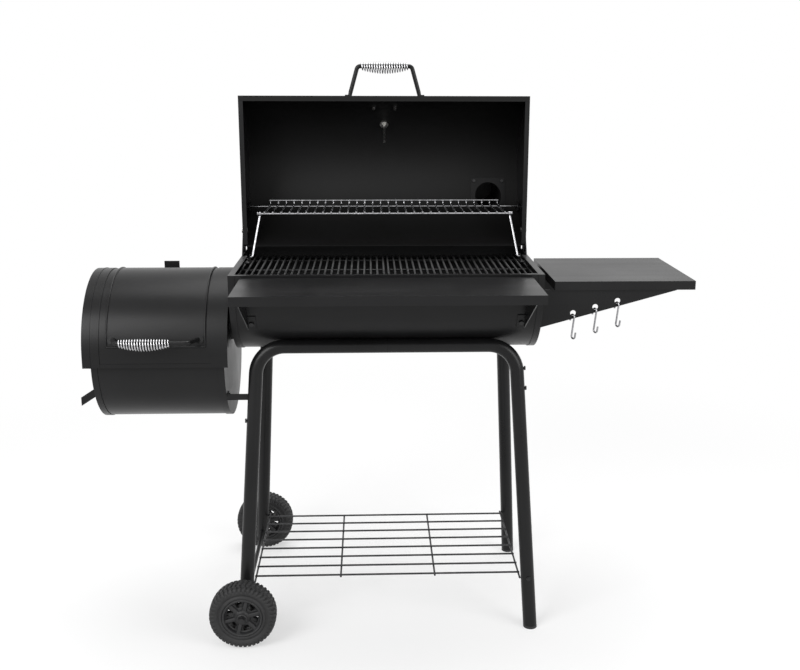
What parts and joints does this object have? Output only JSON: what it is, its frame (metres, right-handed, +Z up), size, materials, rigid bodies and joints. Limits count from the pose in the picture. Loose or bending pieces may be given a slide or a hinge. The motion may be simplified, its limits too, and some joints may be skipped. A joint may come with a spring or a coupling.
{
  "type": "offset smoker grill",
  "caption": "Barrel charcoal grill on a wheeled tube frame, with hinged lid, linked warming rack, chimney, front and side shelves and an offset firebox with its own lid and air damper.",
  "frame": {"origin": "middle of the floor outline, on the floor, with the main lid open", "axes": "+X to the right along the barrel towards the side shelf, +Y to the back, +Z up"},
  "size_m": [1.3948, 0.856, 1.3009],
  "materials": {
    "powder_black": "satin black powder coat",
    "enamel_wire": "black enamelled wire",
    "shelf_wire": "dark grey coated wire",
    "bright_chrome": "bright chrome",
    "zinc": "zinc plated",
    "black_plastic": "moulded black plastic",
    "gauge_steel": "brushed",
    "gauge_face": "printed white face",
    "gauge_glass": "clear"
  },
  "bodies": {
    "frame": {"bowl_shell": "powder_black", "bowl_end_left": "powder_black", "bowl_end_right": "powder_black", "hinge_ears": "powder_black", "lid_rests": "powder_black", "leg_frame_front": "powder_black", "leg_frame_rear": "powder_black", "front_shelf": "powder_black", "shelf_gussets": "powder_black", "side_shelf": "powder_black", "side_bracket_front": "powder_black", "side_bracket_rear": "powder_black", "firebox_tub": "powder_black", "firebox_end_left": "powder_black", "firebox_end_right": "powder_black", "firebox_collar": "powder_black", "firebox_strap": "powder_black", "firebox_hinge": "powder_black", "grate_ledges": "powder_black", "rack_feet": "powder_black", "axle": "powder_black", "cooking_grate_left": "enamel_wire", "cooking_grate_right": "enamel_wire", "charcoal_grate": "enamel_wire", "firebox_grate": "enamel_wire", "low_shelf": "shelf_wire", "frame_bolts": "zinc", "firebox_bolts": "zinc", "lid_pivots": "zinc", "axle_nuts": "zinc", "foot_caps": "black_plastic"},
    "lid": {"lid_shell": "powder_black", "lid_end_left": "powder_black", "lid_end_right": "powder_black", "lid_handle": "powder_black", "lid_handle_coil": "bright_chrome", "chimney_pipe": "powder_black", "chimney_plate": "powder_black", "gauge_case": "gauge_steel", "gauge_dial": "gauge_face", "gauge_needle": "zinc", "gauge_glass": "gauge_glass", "blank_plate": "gauge_steel", "lid_bolts": "zinc"},
    "firebox_lid": {"firebox_lid": "powder_black", "firebox_lid_end_left": "powder_black", "firebox_lid_end_right": "powder_black", "firebox_lid_handle": "powder_black", "firebox_lid_coil": "bright_chrome"},
    "rack_legs": {"rack_legs": "bright_chrome"},
    "rack": {"warming_rack": "bright_chrome"},
    "chimney_cap": {"chimney_cap": "powder_black"},
    "damper": {"damper": "powder_black"},
    "wheel_front": {"tyre_front": "black_plastic", "rim_front": "black_plastic"},
    "wheel_rear": {"tyre_rear": "black_plastic", "rim_rear": "black_plastic"},
    "hook_left": {"hook_left": "bright_chrome"},
    "hook_middle": {"hook_middle": "bright_chrome"},
    "hook_right": {"hook_right": "bright_chrome"}
  },
  "joints": [
    {"name": "lid_hinge", "type": "hinge", "parent": "frame", "child": "lid", "pos_m": [0.00343, 0.1025, 0.896], "axis": [1, 0, 0], "range_deg": [0, 90]},
    {"name": "rack_leg_swing", "type": "hinge", "parent": "frame", "child": "rack_legs", "pos_m": [0.00343, -0.0185, 0.849], "axis": [1, 0, 0], "range_deg": [-0.5, 67.5]},
    {"name": "rack_swing", "type": "hinge", "parent": "rack_legs", "child": "rack", "pos_m": [0.00343, 0.0185, 0.947], "axis": [1, 0, 0], "range_deg": [-51.5, 0.5]},
    {"name": "chimney_cap_swivel", "type": "hinge", "parent": "lid", "child": "chimney_cap", "pos_m": [0.27143, 0.42, 1.012], "axis": [0, 1, 0], "range_deg": [-100, 100]},
    {"name": "firebox_lid_hinge", "type": "hinge", "parent": "frame", "child": "firebox_lid", "pos_m": [-0.51307, 0.13525, 0.6385], "axis": [-1, 0, 0], "range_deg": [0, 75]},
    {"name": "damper_turn", "type": "hinge", "parent": "frame", "child": "damper", "pos_m": [-0.65857, -0.0935, 0.564], "axis": [1, 0, 0], "range_deg": [0, 45]},
    {"name": "wheel_front_spin", "type": "hinge", "parent": "frame", "child": "wheel_front", "pos_m": [-0.32797, -0.3025, 0.076], "axis": [0, 1, 0], "continuous": true},
    {"name": "wheel_rear_spin", "type": "hinge", "parent": "frame", "child": "wheel_rear", "pos_m": [-0.32797, 0.2155, 0.076], "axis": [0, 1, 0], "continuous": true},
    {"name": "hook_left_swing", "type": "hinge", "parent": "frame", "child": "hook_left", "pos_m": [0.42343, -0.19075, 0.74423], "axis": [0, 1, 0], "range_deg": [-20, 20]},
    {"name": "hook_middle_swing", "type": "hinge", "parent": "frame", "child": "hook_middle", "pos_m": [0.47343, -0.19075, 0.75804], "axis": [0, 1, 0], "range_deg": [-20, 20]},
    {"name": "hook_right_swing", "type": "hinge", "parent": "frame", "child": "hook_right", "pos_m": [0.52343, -0.19075, 0.77185], "axis": [0, 1, 0], "range_deg": [-20, 20]}
  ],
  "couplings": [
    {"joint": "rack_leg_swing", "follows": "lid_hinge", "ratio": 0.73517},
    {"joint": "rack_swing", "follows": "lid_hinge", "ratio": -0.56529}
  ]
}
